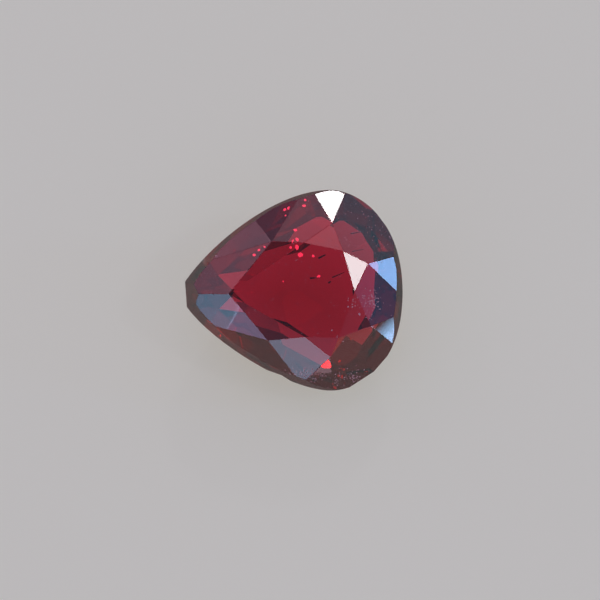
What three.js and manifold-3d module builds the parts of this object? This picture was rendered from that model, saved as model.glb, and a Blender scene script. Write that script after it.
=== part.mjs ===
// A faceted pear-cut garnet, lying on one facet of its underside.
// Millimetres, +Z up. The tip points to -X, and the table, its flat top facet, leans toward -Y.
//
// The stone is made as a cutter grinds it: first a pear-shaped blank, and then one flat facet
// after another. Until it is laid down at the end it stands upright along its own axes: x runs
// from the tip to the head, y across, z up through the table, and z = 0 is about where the
// crown's facets end. Slopes are angles from the table, and azimuths turn from +x to +y.

import * as THREE from "three";
import { mergeVertices } from "three/addons/utils/BufferGeometryUtils.js";
import Module from "manifold-3d";

const wasm = await Module();
wasm.setup();

// Heights and depths
const tableHeight = 1.45;
const girdleThickness = 0.5;
const keelDepth = 3.85;

// The girdle's upper edge is ground to a sloping band, whose foot is this far below z = 0
const bandDrop = 0.3;
const bandSlope = 60;

// The pear outline: its blunt tip, its widest places and the end of its head
const tipUpper = new THREE.Vector2(-5.27, 0.43);
const tipLower = new THREE.Vector2(-5.18, -0.8);
const sideUpper = new THREE.Vector2(1.78, 4.885);
const sideLower = new THREE.Vector2(1.83, -4.86);
const headEnd = new THREE.Vector2(5.3, -0.1);
const outlineSteps = 36;

// Handles that bend the outline: two beside the tip, and the reach of the others from the
// widest places and from the end of the head
const tipHandleUpper = new THREE.Vector2(-3.98, 2.33);
const tipHandleLower = new THREE.Vector2(-4.0, -2.47);
const flankReachUpper = 2.6;
const flankReachLower = 2.06;
const shoulderReach = 1.3;
const headReach = 3.65;

// A shallow nick in the edge of the lower flank, from its two ends to its deepest place
const nickTipEnd = new THREE.Vector2(-1.36, -3.84);
const nickBottom = new THREE.Vector2(-0.58, -4.11);
const nickHeadEnd = new THREE.Vector2(-0.13, -4.4);
const nickRoom = 0.3;

// Corners of the table
const tableTip = atTable(-3.12, -0.17);
const tableUpper = atTable(0.51, 2.3);
const tableShoulder = atTable(2.39, 1.9);
const tableHead = atTable(2.95, -0.07);
const tableLowerShoulder = atTable(2.18, -2.28);
const tableLower = atTable(0.55, -2.25);

// Ends of the keel, the short ridge that is the lowest line of the underside
const keelTip = new THREE.Vector3(-0.7, 0, -keelDepth);
const keelHead = new THREE.Vector3(0.3, 0, -keelDepth);

// The facet that the stone lies on
const restSlope = 20;
const restAzimuth = -90;

const garnetRed = 0x7d1423;
const toolSize = 40;

function atTable(x, y) {
  return new THREE.Vector3(x, y, tableHeight);
}

function toSolid(geometry) {
  geometry.deleteAttribute("normal");
  geometry.deleteAttribute("uv");
  const merged = mergeVertices(geometry);
  const vertProperties = new Float32Array(merged.attributes.position.array);
  const triVerts = new Uint32Array(merged.index.array);
  return new wasm.Manifold(new wasm.Mesh({ numProp: 3, vertProperties, triVerts }));
}

function toGeometry(solid) {
  const { vertProperties, triVerts } = solid.getMesh();
  const geometry = new THREE.BufferGeometry();
  geometry.setAttribute("position", new THREE.BufferAttribute(vertProperties, 3));
  geometry.setIndex(new THREE.BufferAttribute(triVerts, 1));
  geometry.computeVertexNormals();
  return geometry;
}

function pearOutline() {
  const flankLower = new THREE.Vector2(sideLower.x - flankReachLower, sideLower.y);
  const shoulderLower = new THREE.Vector2(sideLower.x + shoulderReach, sideLower.y);
  const headLower = new THREE.Vector2(headEnd.x, headEnd.y - headReach);
  const headUpper = new THREE.Vector2(headEnd.x, headEnd.y + headReach);
  const shoulderUpper = new THREE.Vector2(sideUpper.x + shoulderReach, sideUpper.y);
  const flankUpper = new THREE.Vector2(sideUpper.x - flankReachUpper, sideUpper.y);
  const shape = new THREE.Shape();
  shape.curves.push(new THREE.CubicBezierCurve(tipLower, tipHandleLower, flankLower, sideLower));
  shape.curves.push(new THREE.CubicBezierCurve(sideLower, shoulderLower, headLower, headEnd));
  shape.curves.push(new THREE.CubicBezierCurve(headEnd, headUpper, shoulderUpper, sideUpper));
  shape.curves.push(new THREE.CubicBezierCurve(sideUpper, flankUpper, tipHandleUpper, tipUpper));
  shape.curves.push(new THREE.LineCurve(tipUpper, tipLower));
  return shape;
}

function blank(shape) {
  const depth = tableHeight + keelDepth;
  const options = { depth, bevelEnabled: false, curveSegments: outlineSteps };
  const geometry = new THREE.ExtrudeGeometry(shape, options);
  geometry.translate(0, 0, -keelDepth);
  return toSolid(geometry);
}

// The nick is a shallow wedge, cut straight down through the edge of the blank
function nick() {
  const outerEnd = new THREE.Vector2(nickTipEnd.x, nickHeadEnd.y - nickRoom);
  const shape = new THREE.Shape([nickTipEnd, outerEnd, nickHeadEnd, nickBottom]);
  const geometry = new THREE.ExtrudeGeometry(shape, { depth: toolSize, bevelEnabled: false });
  geometry.translate(0, 0, -toolSize / 2);
  return toSolid(geometry);
}

// The plane of a facet that faces up (face = 1) or down (face = -1)
function facetPlane(point, slope, azimuth, face = 1) {
  const tilt = THREE.MathUtils.degToRad(slope);
  const turn = THREE.MathUtils.degToRad(azimuth);
  const out = Math.sin(tilt);
  const rise = face * Math.cos(tilt);
  const normal = new THREE.Vector3(out * Math.cos(turn), out * Math.sin(turn), rise);
  return new THREE.Plane().setFromNormalAndCoplanarPoint(normal, point);
}

// A star facet slopes away from the table's edge between two corners
function starPlane(corner, nextCorner, slope) {
  const along = nextCorner.clone().sub(corner);
  const azimuth = THREE.MathUtils.radToDeg(Math.atan2(along.x, -along.y));
  return facetPlane(corner, slope, azimuth);
}

function meetingPoint(a, b, c) {
  const bc = new THREE.Vector3().crossVectors(b.normal, c.normal);
  const ca = new THREE.Vector3().crossVectors(c.normal, a.normal);
  const ab = new THREE.Vector3().crossVectors(a.normal, b.normal);
  const scale = -1 / a.normal.dot(bc);
  const point = bc.multiplyScalar(a.constant);
  point.addScaledVector(ca, b.constant);
  point.addScaledVector(ab, c.constant);
  return point.multiplyScalar(scale);
}

function crownPlanes() {
  const table = facetPlane(tableTip, 0, 0);
  const tipBezelUpper = facetPlane(tableTip, 32.9, 134);
  const tipBezelLower = facetPlane(tableTip, 34.5, -131);
  const upperBezel = facetPlane(tableUpper, 33.7, 101.2);
  const shoulderBezel = facetPlane(tableShoulder, 39.2, 43.1);
  const headBezel = facetPlane(tableHead, 30.7, 0);
  const lowerShoulderBezel = facetPlane(tableLowerShoulder, 41.4, -51.5);
  const lowerBezel = facetPlane(tableLower, 31.4, -101.3);
  const bezels = [tipBezelUpper, upperBezel, shoulderBezel, headBezel, lowerShoulderBezel, lowerBezel];

  const tipStarUpper = starPlane(tableTip, tableUpper, 14.9);
  const upperStar = starPlane(tableUpper, tableShoulder, 20.2);
  const headStarUpper = starPlane(tableShoulder, tableHead, 21.1);
  const headStarLower = starPlane(tableHead, tableLowerShoulder, 20.1);
  const lowerStar = starPlane(tableLowerShoulder, tableLower, 24.6);
  const tipStarLower = starPlane(tableLower, tableTip, 17);
  const stars = [tipStarUpper, upperStar, headStarUpper, headStarLower, lowerStar, tipStarLower];

  const upperPoint = meetingPoint(tipStarUpper, tipBezelUpper, upperBezel);
  const upperShoulderPoint = meetingPoint(upperStar, upperBezel, shoulderBezel);
  const headPointUpper = meetingPoint(headStarUpper, shoulderBezel, headBezel);
  const headPointLower = meetingPoint(headStarLower, headBezel, lowerShoulderBezel);
  const lowerShoulderPoint = meetingPoint(lowerStar, lowerShoulderBezel, lowerBezel);
  const lowerPoint = meetingPoint(tipStarLower, lowerBezel, tipBezelLower);
  const breaks = [
    facetPlane(upperPoint, 41.4, 126.4),
    facetPlane(upperPoint, 42.1, 115.7),
    facetPlane(upperShoulderPoint, 38.2, 83.8),
    facetPlane(headPointUpper, 35.9, 9.8),
    facetPlane(headPointLower, 41.1, -29.3),
    facetPlane(lowerShoulderPoint, 36.5, -89.1),
    facetPlane(lowerPoint, 43.1, -117.1),
    facetPlane(lowerPoint, 42.1, -124.5),
  ];
  return [table, ...bezels, tipBezelLower, ...stars, ...breaks];
}

// The band along the girdle's upper edge follows the outline in narrow flats
function bandPlanes(rim) {
  return rim.slice(1).map((end, index) => {
    const start = rim[index];
    const azimuth = THREE.MathUtils.radToDeg(Math.atan2(start.x - end.x, end.y - start.y));
    return facetPlane(new THREE.Vector3(end.x, end.y, -bandDrop), bandSlope, azimuth);
  });
}

function pavilionPlanes(rim) {
  const outerTier = [
    { azimuth: 0, slope: 50 },
    { azimuth: 32, slope: 49 },
    { azimuth: 62, slope: 46.5 },
    { azimuth: 92, slope: 48 },
    { azimuth: 113, slope: 47.5 },
    { azimuth: 130, slope: 51 },
    { azimuth: -130, slope: 51 },
    { azimuth: -113, slope: 47.5 },
    { azimuth: -92, slope: 48 },
    { azimuth: -62, slope: 47 },
    { azimuth: -32, slope: 47 },
    { azimuth: 180, slope: 52 },
  ];
  const innerTier = [
    facetPlane(keelTip, 27, 122, -1),
    facetPlane(keelTip, 27, -122, -1),
    facetPlane(keelHead, restSlope, restAzimuth, -1),
    facetPlane(keelHead, 16, 75, -1),
    facetPlane(keelHead, 12, 35, -1),
    facetPlane(keelHead, 12, -35, -1),
  ];
  const outerPlanes = outerTier.map(({ azimuth, slope }) => {
    const turn = THREE.MathUtils.degToRad(azimuth);
    const facing = new THREE.Vector2(Math.cos(turn), Math.sin(turn));
    const reach = Math.max(...rim.map((point) => point.dot(facing)));
    const foot = new THREE.Vector3(facing.x * reach, facing.y * reach, -girdleThickness);
    return facetPlane(foot, slope, azimuth, -1);
  });
  return [...outerPlanes, ...innerTier];
}

function grind(solid, plane) {
  const wheel = new THREE.BoxGeometry(toolSize, toolSize, toolSize);
  wheel.translate(0, 0, toolSize / 2);
  const up = new THREE.Vector3(0, 0, 1);
  wheel.applyQuaternion(new THREE.Quaternion().setFromUnitVectors(up, plane.normal));
  const foot = plane.normal.clone().multiplyScalar(-plane.constant);
  wheel.translate(foot.x, foot.y, foot.z);
  return solid.subtract(toSolid(wheel));
}

function garnet() {
  const shape = pearOutline();
  const rim = shape.getPoints(outlineSteps);
  const planes = [...crownPlanes(), ...bandPlanes(rim), ...pavilionPlanes(rim)];
  const stone = planes.reduce(grind, blank(shape).subtract(nick()));
  const look = { color: garnetRed, roughness: 0.05, metalness: 0, flatShading: true };
  const material = new THREE.MeshStandardMaterial(look);
  const mesh = new THREE.Mesh(toGeometry(stone), material);
  mesh.name = "garnet";
  return mesh;
}

// Lays the stone on its rest facet, with the middle of its footprint at the origin
function layDown(mesh) {
  const group = new THREE.Group();
  group.add(mesh);
  mesh.rotation.x = THREE.MathUtils.degToRad(restSlope);
  const box = new THREE.Box3().setFromObject(mesh, true);
  const middle = box.getCenter(new THREE.Vector3());
  mesh.position.set(-middle.x, -middle.y, -box.min.z);
  return group;
}

export default layDown(garnet());
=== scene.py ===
# Dresses the faceted pear-cut garnet: its polish, colour, worn edges, inclusions and dust.
# Metres, +Z up, in the frame of the CAD model.

import math
import random

import bmesh
import bpy
from mathutils import Matrix, Vector
from mathutils.bvhtree import BVHTree


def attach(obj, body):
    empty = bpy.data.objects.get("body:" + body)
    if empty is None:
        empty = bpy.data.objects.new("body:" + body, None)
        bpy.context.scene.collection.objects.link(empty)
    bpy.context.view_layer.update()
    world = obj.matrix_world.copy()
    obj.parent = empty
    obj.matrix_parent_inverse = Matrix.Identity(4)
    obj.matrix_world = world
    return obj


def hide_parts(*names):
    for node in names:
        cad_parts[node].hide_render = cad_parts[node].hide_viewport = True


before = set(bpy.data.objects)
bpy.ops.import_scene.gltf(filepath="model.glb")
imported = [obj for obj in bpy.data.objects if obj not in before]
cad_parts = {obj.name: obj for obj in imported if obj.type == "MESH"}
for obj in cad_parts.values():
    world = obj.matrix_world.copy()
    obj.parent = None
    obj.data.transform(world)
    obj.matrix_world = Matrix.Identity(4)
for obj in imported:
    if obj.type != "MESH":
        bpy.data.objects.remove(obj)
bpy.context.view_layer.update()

MM = 0.001

# The stone's own axes: x from the tip to the head, y across, z up through the table. It leans
# by LEAN, and GIRDLE_MIDDLE is where its own origin lies once it rests on its facet.
LEAN = math.radians(20)
GIRDLE_MIDDLE = Vector((-0.015, -0.149, 3.618)) * MM
ACROSS = Vector((0, math.cos(LEAN), math.sin(LEAN)))
TABLE_NORMAL = Vector((0, -math.sin(LEAN), math.cos(LEAN)))
LENGTHWAYS = Vector((1, 0, 0))

# All that is left to chance starts from this number
SEED = 7

# How the crystal bends light, and how it takes it up on the way (the density is per metre)
GARNET_IOR = 1.77
ABSORPTION_COLOUR = (0.873, 0.03, 0.26, 1)
ABSORPTION_DENSITY = 1000

# The polish: its roughest patches, what the steep girdle adds to them, and its low ripples
POLISH_ROUGHNESS = 0.015
GIRDLE_ROUGHNESS = 0.01
RIPPLE_HEIGHT = 0.00015 * MM

# Faces nearer to one plane than the first angle are one facet. Ridges sharper than the second
# angle are worn to a flat of this mean width, give or take the share WEAR_SPREAD of it.
SAME_FACET_ANGLE = math.radians(0.2)
SAME_POINT_DISTANCE = 0.0004 * MM
WORN_RIDGE_ANGLE = math.radians(7)
WEAR_WIDTH = 0.02 * MM
WEAR_SPREAD = 0.5

# Red crystals inside the stone: place along and across, depth below the surface, size (mm)
CRYSTALS = [
    (0.56, 4.35, 0.15, 0.20),
    (0.52, 4.06, 0.2, 0.27),
    (-0.22, 3.95, 0.2, 0.22),
    (-0.40, 3.88, 0.2, 0.17),
    (-0.37, 3.58, 0.2, 0.15),
    (0.11, 2.85, 0.3, 0.26),
    (0.20, 2.40, 0.3, 0.22),
    (-0.02, 2.33, 0.3, 0.20),
    (-0.12, 2.05, 0.3, 0.22),
    (0.18, 2.08, 0.3, 0.20),
    (0.32, 1.72, 0.3, 0.24),
    (0.95, 1.67, 0.4, 0.17),
    (1.2, 0.67, 0.4, 0.22),
    (-1.35, 2.05, 0.3, 0.15),
    (-1.62, 1.9, 0.3, 0.20),
    (-1.85, 1.66, 0.3, 0.17),
    (-0.5, 0.43, 0.5, 0.12),
]

# Limits of their length, width and height against that size, and how uneven they are
CRYSTAL_STRETCH = [(0.7, 1.3), (0.5, 0.9), (0.5, 0.9)]
CRYSTAL_RAGGED = 0.25

# Painted glow: the crystals give off a little red light of their own, since without it they are too
# dim inside the deep red stone
CRYSTAL_PAINTED_GLOW = 1.1

# Dark needles inside it: the two ends, depth and thickness (mm)
NEEDLES = [
    ((1.87, 0.63), (2.45, 0.87), 0.3, 0.060),
    ((0.8, 0.59), (1.24, 0.63), 0.3, 0.076),
    ((1.69, 0.36), (1.8, 0.43), 0.3, 0.085),
    ((2.74, 2.72), (3.37, 2.84), 0.15, 0.043),
    ((2.8, 1.86), (3.37, 1.96), 0.15, 0.043),
    ((1.2, 1.55), (1.55, 1.72), 0.25, 0.085),
]

# Radius of a needle's far end against its near one, and how uneven it is
NEEDLE_SIDES = 5
NEEDLE_TAPER = 0.4
NEEDLE_RAGGED = 0.4

# Dust on the facets: middle, spread, how many, and mean radius (mm). Chips: middle and radius.
DUST = [
    ((3.5, -0.65), (0.35, 0.45), 60, 0.022),
    ((3.9, -0.5), (0.16, 0.36), 50, 0.028),
    ((2.8, -4.2), (0.65, 0.22), 90, 0.024),
    ((0.9, -4.15), (0.3, 0.16), 50, 0.022),
    ((0.35, -4.0), (0.4, 0.16), 60, 0.022),
    ((3.6, 3.3), (0.8, 0.8), 110, 0.02),
    ((1.7, 2.4), (1.2, 0.5), 40, 0.018),
    ((0.5, -0.6), (3.0, 2.2), 160, 0.014),
]
CHIPS = [
    ((2.64, -0.79), 0.05),
    ((2.84, -0.8), 0.04),
    ((3.19, -1.15), 0.075),
    ((1.85, -1.92), 0.05),
    ((2.1, -2.24), 0.035),
    ((2.4, -2.45), 0.035),
    ((-3.75, 1.67), 0.06),
]

# One speck: limits of its radius and of each corner's, as shares of the mean, its height against
# its radius, and the least cosine between the table and a facet that holds it
SPECK_CORNERS = 6
SPECK_SIZES = (0.5, 1.5)
SPECK_RAGGED = (0.5, 1.3)
SPECK_HEIGHT = 0.3
SPECK_UPRIGHT = 0.6

# Size of one pixel at the girdle, and how many of them the girdle's middle lies right of and
# above the middle of the picture
PIXEL = 0.0485 * MM
FRAME_PIXELS = 600
MIDDLE_RIGHT = -6.5
MIDDLE_UP = 9.5
CAMERA_DISTANCE = 0.24
SENSOR = 36

# How far the floor reaches each way, its height, just clear of the stone, and its own light
FLOOR_HALF = 1.5
FLOOR_HEIGHT = -0.02 * MM
FLOOR_GLOW = 0.325

# Distance of the light panels, and the height of the stone's middle, which they face
PANEL_DISTANCE = 0.5
STONE_MIDDLE = 4 * MM

# Strength of the room's light near the floor and overhead
ROOM_LOW = 0.62
ROOM_OVERHEAD = 0.22


def at(x, y, z):
    """A place given along the stone's own axes in millimetres."""
    return GIRDLE_MIDDLE + (LENGTHWAYS * x + ACROSS * y + TABLE_NORMAL * z) * MM


def add_camera():
    data = bpy.data.cameras.new("camera")
    data.sensor_width = SENSOR
    data.lens = SENSOR * CAMERA_DISTANCE / (FRAME_PIXELS * PIXEL)
    data.clip_start = 0.001
    data.clip_end = 10
    camera = bpy.data.objects.new("camera", data)
    aim = GIRDLE_MIDDLE - (LENGTHWAYS * MIDDLE_RIGHT + ACROSS * MIDDLE_UP) * PIXEL
    turn = Matrix((LENGTHWAYS, ACROSS, TABLE_NORMAL)).transposed().to_4x4()
    camera.matrix_world = Matrix.Translation(aim + TABLE_NORMAL * CAMERA_DISTANCE) @ turn
    bpy.context.scene.collection.objects.link(camera)
    bpy.context.scene.camera = camera


def new_material(name):
    """A material, its node tree and the Principled shader in it."""
    material = bpy.data.materials.new(name)
    material.use_nodes = True
    tree = material.node_tree
    return material, tree, tree.nodes["Principled BSDF"]


def add_node(tree, kind, inputs=None, **settings):
    """Adds a node; inputs are plain values or the output sockets of other nodes."""
    node = tree.nodes.new(kind)
    for name, value in settings.items():
        setattr(node, name, value)
    for name, value in (inputs or {}).items():
        if isinstance(value, bpy.types.NodeSocket):
            tree.links.new(value, node.inputs[name])
        else:
            node.inputs[name].default_value = value
    return node


def millimetres(tree):
    """Object coordinates in millimetres."""
    place = add_node(tree, "ShaderNodeTexCoord").outputs["Object"]
    mapping = add_node(tree, "ShaderNodeMapping", {"Vector": place, "Scale": (1000, 1000, 1000)})
    return mapping.outputs["Vector"]


def ranged(tree, value, low, high, to_low, to_high):
    """A value taken from the range low to high to the range to_low to to_high."""
    inputs = {"Value": value, "From Min": low, "From Max": high, "To Min": to_low, "To Max": to_high}
    return add_node(tree, "ShaderNodeMapRange", inputs).outputs["Result"]


def garnet_material():
    material, tree, shader = new_material("garnet_crystal")
    place = millimetres(tree)
    shader.inputs["Base Color"].default_value = (1, 1, 1, 1)
    shader.inputs["IOR"].default_value = GARNET_IOR
    shader.inputs["Transmission Weight"].default_value = 1
    polish = add_node(tree, "ShaderNodeTexNoise", {"Vector": place, "Scale": 1.8, "Detail": 4})
    polished = ranged(tree, polish.outputs["Fac"], 0.35, 0.7, 0.0, POLISH_ROUGHNESS)
    facing = add_node(tree, "ShaderNodeNewGeometry").outputs["True Normal"]
    normals = {0: facing, 1: TABLE_NORMAL}
    rise = add_node(tree, "ShaderNodeVectorMath", normals, operation="DOT_PRODUCT").outputs["Value"]
    flatness = add_node(tree, "ShaderNodeMath", {0: rise}, operation="ABSOLUTE").outputs["Value"]
    on_girdle = ranged(tree, flatness, 0.54, 0.59, GIRDLE_ROUGHNESS, 0)
    roughness = add_node(tree, "ShaderNodeMath", {0: polished, 1: on_girdle}, operation="ADD")
    tree.links.new(roughness.outputs["Value"], shader.inputs["Roughness"])
    waves = add_node(tree, "ShaderNodeTexNoise", {"Vector": place, "Scale": 1.3, "Detail": 3})
    relief = {"Height": waves.outputs["Fac"], "Distance": RIPPLE_HEIGHT}
    ripple = add_node(tree, "ShaderNodeBump", relief)
    tree.links.new(ripple.outputs["Normal"], shader.inputs["Normal"])
    absorption = tree.nodes.new("ShaderNodeVolumeAbsorption")
    absorption.inputs["Color"].default_value = ABSORPTION_COLOUR
    absorption.inputs["Density"].default_value = ABSORPTION_DENSITY
    output = tree.nodes["Material Output"]
    tree.links.new(absorption.outputs["Volume"], output.inputs["Volume"])
    return material


def facet_mesh():
    """The CAD stone as a mesh with one polygon for each facet."""
    shape = bmesh.new()
    shape.from_mesh(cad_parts["garnet"].data)
    bmesh.ops.remove_doubles(shape, verts=shape.verts, dist=SAME_POINT_DISTANCE)
    parts = {"verts": shape.verts, "edges": shape.edges}
    bmesh.ops.dissolve_limit(shape, angle_limit=SAME_FACET_ANGLE, **parts)
    return shape


def wear_ridges(shape, source):
    """Blunts each ridge between two facets with a narrow flat, where that cuts nothing else."""
    points = [vert.co.copy() for vert in shape.verts]
    cuts = []
    for edge in shape.edges:
        if len(edge.link_faces) != 2 or edge.calc_face_angle_signed(0) < WORN_RIDGE_ANGLE:
            continue
        first, second = [face.normal for face in edge.link_faces]
        normal = (first + second).normalized()
        half_angle = first.angle(second) / 2
        own_width = WEAR_WIDTH * source.uniform(1 - WEAR_SPREAD, 1 + WEAR_SPREAD)
        depth = own_width / 2 * math.tan(half_angle)
        middle = (edge.verts[0].co + edge.verts[1].co) / 2
        foot = middle - normal * depth
        reach = max((point - foot).dot(normal) for point in points)
        if reach < depth * 1.05 + 0.001 * MM:
            cuts.append((foot, normal))
    for foot, normal in cuts:
        parts = shape.verts[:] + shape.edges[:] + shape.faces[:]
        plane = {"plane_co": foot, "plane_no": normal, "dist": 0.00002 * MM}
        result = bmesh.ops.bisect_plane(shape, geom=parts, clear_outer=True, **plane)
        rim = [part for part in result["geom_cut"] if isinstance(part, bmesh.types.BMEdge)]
        if rim:
            bmesh.ops.edgenet_fill(shape, edges=rim)
    bmesh.ops.recalc_face_normals(shape, faces=shape.faces)


def add_stone():
    """Adds the polished stone, and returns its surface for placing things in and on it."""
    shape = facet_mesh()
    wear_ridges(shape, random.Random(SEED))
    mesh = bpy.data.meshes.new("polished_stone")
    shape.to_mesh(mesh)
    shape.free()
    stone = bpy.data.objects.new("polished_stone", mesh)
    mesh.materials.append(garnet_material())
    bpy.context.scene.collection.objects.link(stone)
    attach(stone, "root")
    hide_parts("garnet")
    points = [vert.co for vert in mesh.vertices]
    return BVHTree.FromPolygons(points, [face.vertices for face in mesh.polygons])


def crystal_material(name, pale, deep, roughness):
    """The skin of a small grain, from pale to deep in patches."""
    material, tree, shader = new_material(name)
    patches = add_node(tree, "ShaderNodeTexNoise", {"Vector": millimetres(tree), "Scale": 9})
    tint = add_node(tree, "ShaderNodeMix", {"Factor": patches.outputs["Fac"]}, data_type="RGBA")
    tint.inputs["A"].default_value = (*pale, 1)
    tint.inputs["B"].default_value = (*deep, 1)
    tree.links.new(tint.outputs["Result"], shader.inputs["Base Color"])
    own_roughness = ranged(tree, patches.outputs["Fac"], 0, 1, roughness, roughness * 1.5)
    tree.links.new(own_roughness, shader.inputs["Roughness"])
    return material


def add_grains(name, shape, material):
    """Adds one piece made of many small grains, which rides on the stone."""
    mesh = bpy.data.meshes.new(name)
    bmesh.ops.recalc_face_normals(shape, faces=shape.faces)
    shape.to_mesh(mesh)
    shape.free()
    mesh.materials.append(material)
    grains = bpy.data.objects.new(name, mesh)
    bpy.context.scene.collection.objects.link(grains)
    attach(grains, "root")


def surface_at(surface, x, y):
    """The crown's surface at a place given along the stone's own axes, and its normal there."""
    return surface.ray_cast(at(x, y, 5), -TABLE_NORMAL)[:2]


def add_crystals(surface, source):
    shape = bmesh.new()
    for x, y, depth, size in CRYSTALS:
        middle = surface_at(surface, x, y)[0] - TABLE_NORMAL * depth * MM
        angle = source.uniform(0, math.tau)
        turn = Matrix.Rotation(angle, 4, Vector((source.random(), source.random(), 1)))
        length, width, height = [source.uniform(*limits) for limits in CRYSTAL_STRETCH]
        matrix = Matrix.Translation(middle) @ turn @ Matrix.Diagonal((length, width, height, 1))
        radius = size / 2 * MM
        grain = bmesh.ops.create_icosphere(shape, subdivisions=1, radius=radius, matrix=matrix)
        for vert in grain["verts"]:
            vert.co += (vert.co - middle) * source.uniform(-CRYSTAL_RAGGED, CRYSTAL_RAGGED)
    material = crystal_material("painted_glow_red_crystal", (1, 0.25, 0.3), (1, 0.08, 0.12), 0.25)
    shader = material.node_tree.nodes["Principled BSDF"]
    # Painted glow: the red crystals give off light, in place of the light that would reach them
    # inside the stone
    shader.inputs["Emission Color"].default_value = (1, 0.03, 0.09, 1)
    shader.inputs["Emission Strength"].default_value = CRYSTAL_PAINTED_GLOW
    add_grains("red_crystals", shape, material)


def add_needles(surface, source):
    shape = bmesh.new()
    for start, end, depth, thickness in NEEDLES:
        first = surface_at(surface, *start)[0] - TABLE_NORMAL * depth * MM
        last = surface_at(surface, *end)[0] - TABLE_NORMAL * depth * MM
        length = (last - first).length
        turn = (last - first).to_track_quat("Z", "Y").to_matrix().to_4x4()
        matrix = Matrix.Translation((first + last) / 2) @ turn
        radius = thickness / 2 * MM
        form = {"radius1": radius, "radius2": radius * NEEDLE_TAPER, "segments": NEEDLE_SIDES}
        needle = bmesh.ops.create_cone(shape, cap_ends=True, depth=length, matrix=matrix, **form)
        for vert in needle["verts"]:
            vert.co += ACROSS * source.uniform(-NEEDLE_RAGGED, NEEDLE_RAGGED) * radius
    material = crystal_material("dark_needle", (0.05, 0.01, 0.015), (0.01, 0.004, 0.006), 0.5)
    add_grains("dark_needles", shape, material)


def add_speck(shape, surface, source, x, y, radius):
    """One irregular flat speck on the surface, a low cone on a ragged foot."""
    place, normal = surface_at(surface, x, y)
    if place is None or normal.dot(TABLE_NORMAL) < SPECK_UPRIGHT:
        return
    side = normal.orthogonal().normalized()
    foot = []
    for corner in range(SPECK_CORNERS):
        way = Matrix.Rotation(math.tau * corner / SPECK_CORNERS, 3, normal) @ side
        foot.append(shape.verts.new(place + way * radius * source.uniform(*SPECK_RAGGED) * MM))
    top = shape.verts.new(place + normal * radius * SPECK_HEIGHT * MM)
    for corner in range(SPECK_CORNERS):
        shape.faces.new((foot[corner], foot[(corner + 1) % SPECK_CORNERS], top))
    shape.faces.new(foot[::-1])


def add_dust(surface, source):
    shape = bmesh.new()
    for (x, y), (spread_x, spread_y), count, radius in DUST:
        for _ in range(count):
            own_x, own_y = source.gauss(x, spread_x), source.gauss(y, spread_y)
            own_radius = radius * source.uniform(*SPECK_SIZES)
            add_speck(shape, surface, source, own_x, own_y, own_radius)
    for (x, y), radius in CHIPS:
        add_speck(shape, surface, source, x, y, radius)
    material = crystal_material("pale_dust", (0.9, 0.6, 0.6), (0.6, 0.3, 0.32), 0.6)
    add_grains("dust_and_chips", shape, material)


def add_floor():
    mesh = bpy.data.meshes.new("floor")
    ways = [(-1, -1), (1, -1), (1, 1), (-1, 1)]
    corners = [(x * FLOOR_HALF, y * FLOOR_HALF, FLOOR_HEIGHT) for x, y in ways]
    mesh.from_pydata(corners, [], [(0, 1, 2, 3)])
    floor = bpy.data.objects.new("floor", mesh)
    bpy.context.scene.collection.objects.link(floor)
    material, tree, shader = new_material("pale_floor")
    place = millimetres(tree)
    drift = add_node(tree, "ShaderNodeTexNoise", {"Vector": place, "Scale": 0.02, "Detail": 2})
    tint = add_node(tree, "ShaderNodeMix", {"Factor": drift.outputs["Fac"]}, data_type="RGBA")
    tint.inputs["A"].default_value = (0.60, 0.59, 0.56, 1)
    tint.inputs["B"].default_value = (0.64, 0.63, 0.60, 1)
    tree.links.new(tint.outputs["Result"], shader.inputs["Base Color"])
    shader.inputs["Roughness"].default_value = 0.9
    shader.inputs["Specular IOR Level"].default_value = 0
    shader.inputs["Emission Color"].default_value = (0.97, 1, 0.8, 1)
    shader.inputs["Emission Strength"].default_value = FLOOR_GLOW
    material.cycles.emission_sampling = "NONE"
    mesh.materials.append(material)


def direction(azimuth, elevation):
    turn, rise = math.radians(azimuth), math.radians(elevation)
    return Vector((math.cos(turn) * math.cos(rise), math.sin(turn) * math.cos(rise), math.sin(rise)))


def add_area_light(name, way, place, width, height, strength, colour):
    """A rectangle of light at a place, which faces back along the way from the stone to it."""
    data = bpy.data.lights.new(name, "AREA")
    data.shape = "RECTANGLE"
    data.size = width
    data.size_y = height
    data.color = colour
    data.energy = strength * math.pi * data.size * data.size_y
    light = bpy.data.objects.new(name, data)
    light.location = place
    light.rotation_euler = (-way).to_track_quat("-Z", "Y").to_euler()
    light.visible_camera = False
    bpy.context.scene.collection.objects.link(light)
    return data


def add_panel(name, azimuth, elevation, width, height, strength, colour):
    """A soft light that faces the stone. Its width and height are angles, seen from the stone."""
    way = direction(azimuth, elevation)
    place = way * PANEL_DISTANCE + Vector((0, 0, STONE_MIDDLE))
    wide, high = [2 * PANEL_DISTANCE * math.tan(math.radians(angle) / 2) for angle in (width, height)]
    add_area_light(name, way, place, wide, high, strength, colour)


def add_card(name, azimuth, distance, width, height, strength, colour):
    """A small glowing card (mm) that stands on the floor and fades out toward its top."""
    way = direction(azimuth, 0)
    place = way * distance * MM + Vector((0, 0, height / 2 * MM))
    data = add_area_light(name, way, place, width * MM, height * MM, strength, colour)
    data.use_nodes = True
    tree = data.node_tree
    place = add_node(tree, "ShaderNodeNewGeometry").outputs["Position"]
    rise = add_node(tree, "ShaderNodeSeparateXYZ", {"Vector": place}).outputs["Z"]
    fade = ranged(tree, rise, 0.25 * height * MM, 0.5 * height * MM, 1, 0)
    tree.links.new(fade, tree.nodes["Emission"].inputs["Strength"])


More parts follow.
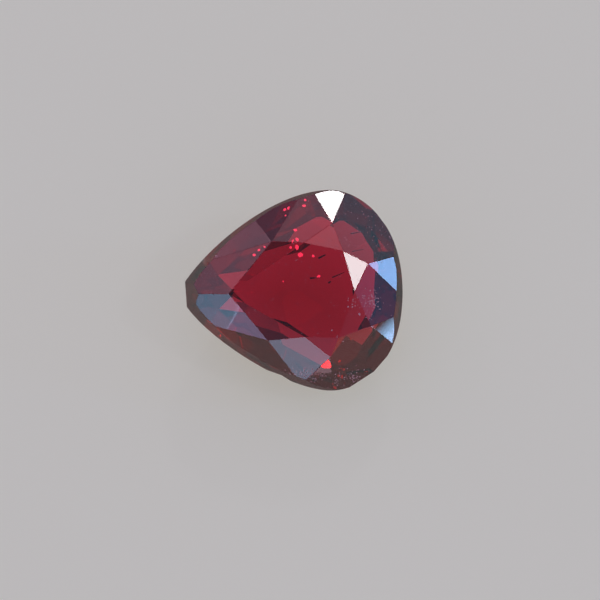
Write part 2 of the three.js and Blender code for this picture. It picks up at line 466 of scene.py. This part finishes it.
def add_lights():
    """Each light stands where a facet of the crown mirrors it to the camera, wholly or in part."""
    add_panel("key", 80.8, 31.2, 4.6, 4.0, 14, (1, 1, 1))
    add_panel("side", -6.5, 48.7, 5, 5, 9.2, (0.9, 0.99, 1))
    add_panel("front_right", -100.5, 6.5, 9, 7, 1.85, (0.5, 0.76, 1))
    add_panel("front_middle", -124.7, 5.5, 8, 8, 1.45, (0.66, 0.6, 1))
    add_panel("front_left", -132.7, 5.5, 8, 8, 1.8, (0.3, 0.68, 1))
    add_panel("back_right", 103.5, 41.4, 10, 8, 0.8, (0.85, 0.5, 0.62))
    add_panel("back_low", 131, 22.5, 9, 8, 0.75, (1, 0.55, 0.7))
    add_panel("back_left", 143.3, 36.8, 12, 8, 0.95, (1, 0.45, 0.6))
    add_panel("overhead", 68, 68, 10, 8, 1.2, (1, 0.5, 0.6))
    add_panel("back_head", 38.3, 23.7, 12, 9, 0.35, (0.1, 0.85, 1))
    add_panel("head", -12, 26, 8, 8, 0.4, (0.1, 0.4, 1))
    add_panel("window_upper", 3.4, 19.2, 6, 6, 9.8, (0.26, 0.53, 1))
    add_card("window_lower", -31, 44, 14, 3.2, 10, (0.36, 0.62, 1))
    add_card("front_card", -89, 44, 10, 3.2, 1.4, (1, 0.6, 0.75))


def add_world():
    """A dim room, darker overhead than near the floor."""
    world = bpy.data.worlds.new("room")
    bpy.context.scene.world = world
    world.use_nodes = True
    tree = world.node_tree
    place = add_node(tree, "ShaderNodeTexCoord").outputs["Generated"]
    height = add_node(tree, "ShaderNodeSeparateXYZ", {"Vector": place}).outputs["Z"]
    light = ranged(tree, height, 0.1, 0.9, ROOM_LOW, ROOM_OVERHEAD)
    background = tree.nodes["Background"]
    background.inputs["Color"].default_value = (0.72, 0.62, 1.0, 1)
    tree.links.new(light, background.inputs["Strength"])


def set_look():
    """Plain colours, even sampling, and enough bounces for the light inside the stone."""
    scene = bpy.context.scene
    scene.view_settings.view_transform = "Standard"
    scene.cycles.sampling_pattern = "TABULATED_SOBOL"
    scene.cycles.use_adaptive_sampling = False
    scene.cycles.max_bounces = 24
    scene.cycles.transmission_bounces = 24
    scene.cycles.glossy_bounces = 16
    scene.cycles.diffuse_bounces = 4


source = random.Random(SEED)
add_camera()
stone_surface = add_stone()
add_crystals(stone_surface, source)
add_needles(stone_surface, source)
add_dust(stone_surface, source)
add_floor()
add_lights()
add_world()
set_look()
